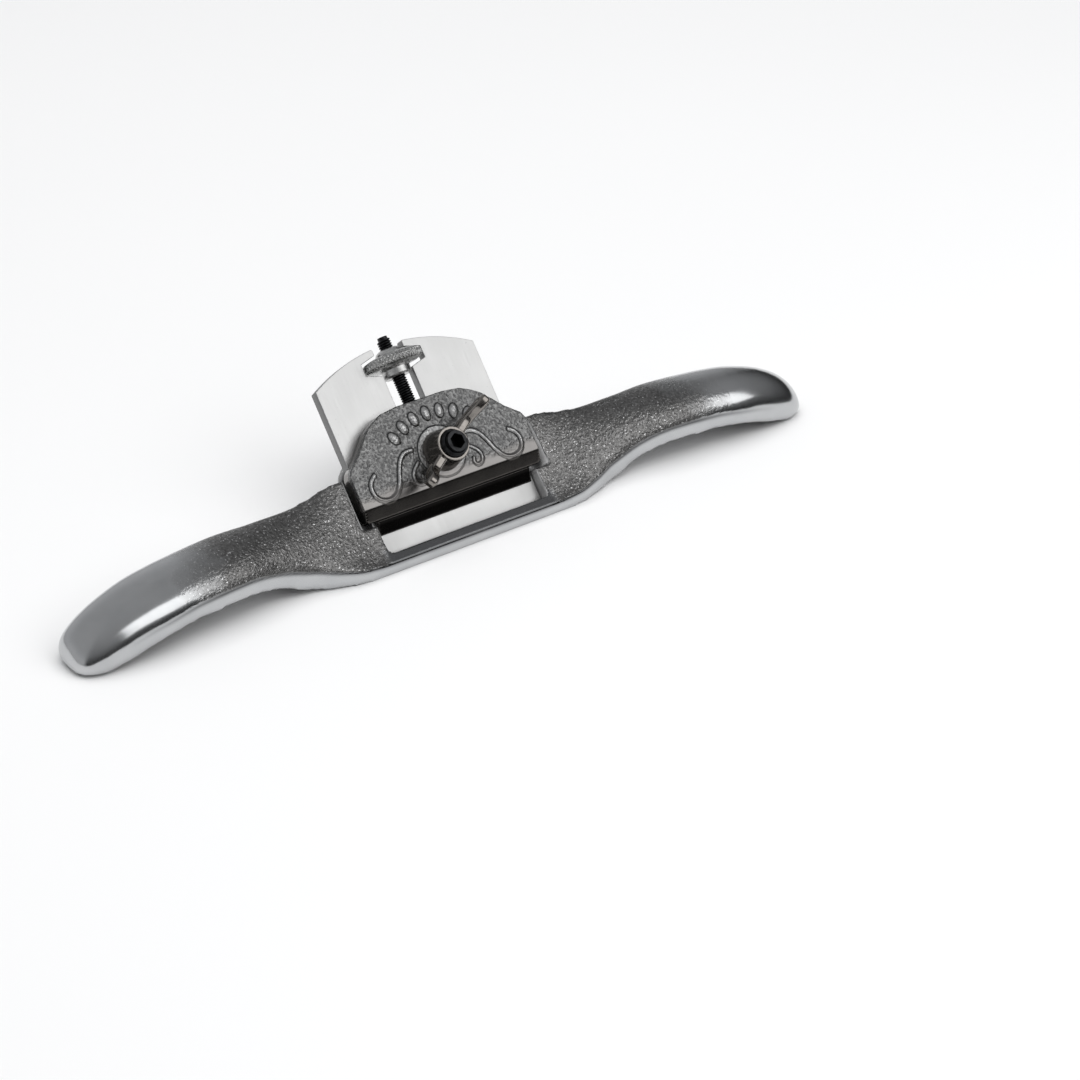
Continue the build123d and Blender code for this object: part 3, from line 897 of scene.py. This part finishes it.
def rounded_outline(points, steps=5):
    """Closed outline through the points with its corners eased into curves."""
    curve = []
    n = len(points)
    for i in range(n):
        a, b, c, d = (Vector(points[(i + k) % n]) for k in (-1, 0, 1, 2))
        for k in range(steps):
            t = k / steps
            bend, twist = 2 * a - 5 * b + 4 * c - d, 3 * b - a - 3 * c + d
            curve.append(0.5 * (2 * b + (c - a) * t + bend * t ** 2 + twist * t ** 3))
    return [tuple(p) for p in curve]


WING_T = 2.8
WING_TURN = math.radians(32.7)      # how far round the stud the nut rests
wing_outline = [(3.0, 6.0), (8.0, 6.8), (12.5, 9.0), (15.6, 11.9), (16.7, 14.4), (16.1, 16.1), (14.6, 16.3)]
wing_outline += [(12.5, 15.0), (10.5, 12.7), (8.4, 11.2), (3.0, 10.7)]
dish_outline = [(7.6, 8.3), (10.0, 8.9), (12.4, 10.5), (14.4, 12.6), (15.2, 14.2), (14.6, 14.9), (13.2, 14.0)]
dish_outline += [(11.4, 11.9), (9.4, 10.2), (7.6, 9.7)]
for turn in (0, math.pi):
    upright = Matrix.Rotation(WING_TURN + turn, 4, "Z") @ Matrix.Rotation(math.pi / 2, 4, "X")
    wing = prism(rounded_outline(wing_outline), -WING_T / 2, WING_T / 2)
    rims = [e for e in wing.edges if abs(e.verts[0].co.z - e.verts[1].co.z) < 0.01]
    bmesh.ops.bevel(wing, geom=rims, offset=0.75, segments=4, profile=0.5, affect="EDGES", material=-1)
    wing.transform(upright)
    cut_by(wing_nut, [made(wing, "wing")], "UNION")
    for low, high in ((-3.0, -0.8), (0.8, 3.0)):
        dish = prism(rounded_outline(dish_outline), low, high)
        dish.transform(upright)
        cut_by(wing_nut, [made(dish, "wing_dish")])
nut_bore = bmesh.new()
bmesh.ops.create_cone(
    nut_bore, cap_ends=True, segments=48, radius1=BORE_R, radius2=BORE_R, depth=30
)
cut_by(wing_nut, [made(nut_bore, "nut_bore")])
wing_nut.data.transform(BED_TO_ROW @ Matrix.Translation((0, STUD_S, 0)))
add_modifier(wing_nut, "REMESH", mode="VOXEL", voxel_size=0.16 * MM, use_smooth_shade=True)
add_modifier(wing_nut, "SMOOTH", factor=0.5, iterations=4)
finished(wing_nut)


def nut_finish():
    skin = Finish("nut_steel", Metallic=1.0)
    brushed = skin.noise(0.8, detail=4.0)
    return skin.apply(
        Base_Color=skin.mix(brushed, (0.17, 0.156, 0.144, 1), (0.32, 0.3, 0.28, 1)),
        Roughness=0.16 + brushed * 0.1,
        Normal=skin.bump(brushed, 0.01),
    )


wing_nut.data.materials.clear()
wing_nut.data.materials.append(nut_finish())
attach(wing_nut, "wing_nut")
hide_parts("wing_nut")

# ---- Floor, light and camera --------------------------------------------------------
# A pale floor that the sole rests on, one softbox above the front, a fill overhead that
# shines do not show, and a backdrop lit behind the tool and dark in front of it. A long
# lens looks down at the tool from its front left.

floor_mesh = bmesh.new()
bmesh.ops.create_grid(floor_mesh, x_segments=1, y_segments=1, size=0.56)
floor = made(floor_mesh, "floor")
pale = Finish("pale_floor", Roughness=0.9)
dust = pale.noise(400.0, detail=2.0)
pale.apply(Base_Color=pale.mix(dust, (0.88, 0.88, 0.88, 1), (0.92, 0.92, 0.92, 1)))
floor.data.materials.append(pale.material)


def soft_light(name, size, radiance, place, target=(0, 0, 0.01)):
    light = bpy.data.lights.new(name, "AREA")
    light.shape = "RECTANGLE"
    light.size, light.size_y = size
    light.energy = radiance * math.pi * size[0] * size[1]
    lamp = bpy.data.objects.new(name, light)
    lamp.location = place
    lamp.rotation_euler = (Vector(target) - Vector(place)).to_track_quat("-Z", "Y").to_euler()
    bpy.context.scene.collection.objects.link(lamp)
    return lamp


soft_light("softbox_front", (1.0, 0.5), 1.6, (0.35, -0.62, 0.64))
fill = soft_light("floor_fill", (1.5, 1.5), 1.9, (0.0, 0.0, 1.2))
fill.visible_glossy = False

world = bpy.data.worlds.new("studio")
world.use_nodes = True
bpy.context.scene.world = world
sky = Nodes(world.node_tree)


def backdrop(source, *tones):
    """Near-grey light along a value, from (place, brightness) pairs."""
    stops = [(place, (tone, tone * 1.01, tone * 1.03, 1)) for place, tone in tones]
    return sky.node("ValToRGB", stops=stops, i0=source)


direction = sky.node("TexCoord", output="Generated")
height = sky.node("SeparateXYZ", output=2, i0=direction)
behind = sky.node(
    "VectorMath", output="Value", settings={"operation": "DOT_PRODUCT"}, i0=direction, i1=(-0.6, 0.8, 0.0)
)
dark_side = backdrop(height, (0.0, 0.025), (0.14, 0.03), (0.5, 0.22), (1.0, 0.4))
lit_side = backdrop(height, (0.0, 0.5), (0.25, 0.55), (0.6, 0.42), (1.0, 0.4))
blend = sky.mix(backdrop(behind, (0.0, 0.0), (0.25, 1.0)), dark_side, lit_side)
sky.feed(sky.tree.nodes["Background"].inputs["Color"], blend)

camera = bpy.data.cameras.new("camera")
camera.sensor_width = 36
camera.lens = 108.01
camera.clip_end = 20
eye = bpy.data.objects.new("camera", camera)
eye.location = Vector((-469.43, -589.08 + EDGE_Y, 492.16)) * MM
eye.rotation_euler = Euler([math.radians(a) for a in (56.807, -3.272, -37.917)])
bpy.context.scene.collection.objects.link(eye)
bpy.context.scene.camera = eye
bpy.context.scene.view_settings.view_transform = "Standard"
